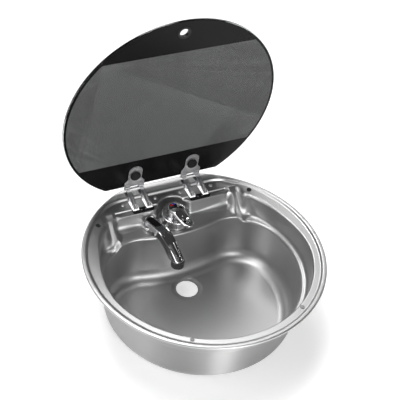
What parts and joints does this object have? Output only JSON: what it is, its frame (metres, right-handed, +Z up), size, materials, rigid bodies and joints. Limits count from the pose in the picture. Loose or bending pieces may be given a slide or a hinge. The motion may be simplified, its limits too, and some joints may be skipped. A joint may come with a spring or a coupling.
{
  "type": "kitchen sink with hinged lid",
  "caption": "Round drop-in metal sink with a flat rear edge, a hinged round glass lid, a low mixer tap with swivel spout and lever, and a drain hole.",
  "frame": {"origin": "centre of the rim's round part, on the rim's top plane", "axes": "+X right, +Y towards the hinges, +Z up; front view along +Y"},
  "size_m": [0.42, 0.408, 0.4989],
  "materials": {
    "stainless": "pressed stainless steel, satin",
    "zinc_steel": "plated steel",
    "polished_steel": "polished plated steel",
    "chrome": "polished chrome",
    "rubber": "black rubber",
    "seal_foam": "soft closed-cell seal",
    "black_plastic": "moulded black plastic",
    "dark_plastic": "dark moulded plastic",
    "white_ceramic": "cartridge shell",
    "glass": "toughened glass",
    "black_print": "black ceramic print on glass",
    "dot_print": "grey dotted ceramic print on glass",
    "brass": "plain brass",
    "marker": "red and blue mark"
  },
  "bodies": {
    "sink": {"sink_bowl": "stainless", "rim_gasket": "seal_foam", "lid_buffers": "rubber", "deck_rivets": "polished_steel", "hinge_carrier_left": "zinc_steel", "hinge_carrier_right": "zinc_steel", "hinge_pin_left": "zinc_steel", "hinge_pin_right": "zinc_steel", "friction_washers": "zinc_steel", "hinge_base_left": "black_plastic", "hinge_base_right": "black_plastic", "hinge_base_screws": "zinc_steel", "tap_body": "chrome", "tap_gasket": "rubber", "tap_washer": "zinc_steel", "tap_nut": "brass", "inlet_stubs": "brass", "cartridge": "white_ceramic", "cartridge_dome": "chrome", "spout_bush": "dark_plastic"},
    "lid": {"glass_lid": "glass", "lid_print": "black_print", "lid_dot_print": "dot_print", "finger_grommet": "black_plastic", "hinge_bracket_left": "polished_steel", "hinge_bracket_right": "polished_steel", "lid_cap_left": "black_plastic", "lid_cap_right": "black_plastic", "lid_screws": "polished_steel", "lid_gaskets": "rubber"},
    "spout": {"tap_spout": "chrome", "aerator": "dark_plastic"},
    "lever_turner": {"lever_carrier": "brass"},
    "lever_handle": {"lever": "chrome", "lever_screw": "zinc_steel", "lever_marker": "marker"}
  },
  "joints": [
    {"name": "lid_hinge", "type": "hinge", "parent": "sink", "child": "lid", "pos_m": [0, 0.1797, -0.0104], "axis": [1, 0, 0], "range_deg": [0, 84.5]},
    {"name": "spout_swivel", "type": "hinge", "parent": "sink", "child": "spout", "pos_m": [-0.049, 0.1215, -0.02], "axis": [0, 0, 1], "range_deg": [-60, 12]},
    {"name": "lever_turn", "type": "hinge", "parent": "sink", "child": "lever_turner", "pos_m": [0, 0.1217, -0.02], "axis": [0, -0.1392, 0.9903], "range_deg": [-15, 40]},
    {"name": "lever_lift", "type": "hinge", "parent": "lever_turner", "child": "lever_handle", "pos_m": [0, 0.1217, -0.02], "axis": [-0.9563, -0.2895, -0.0407], "range_deg": [0, 15]}
  ]
}
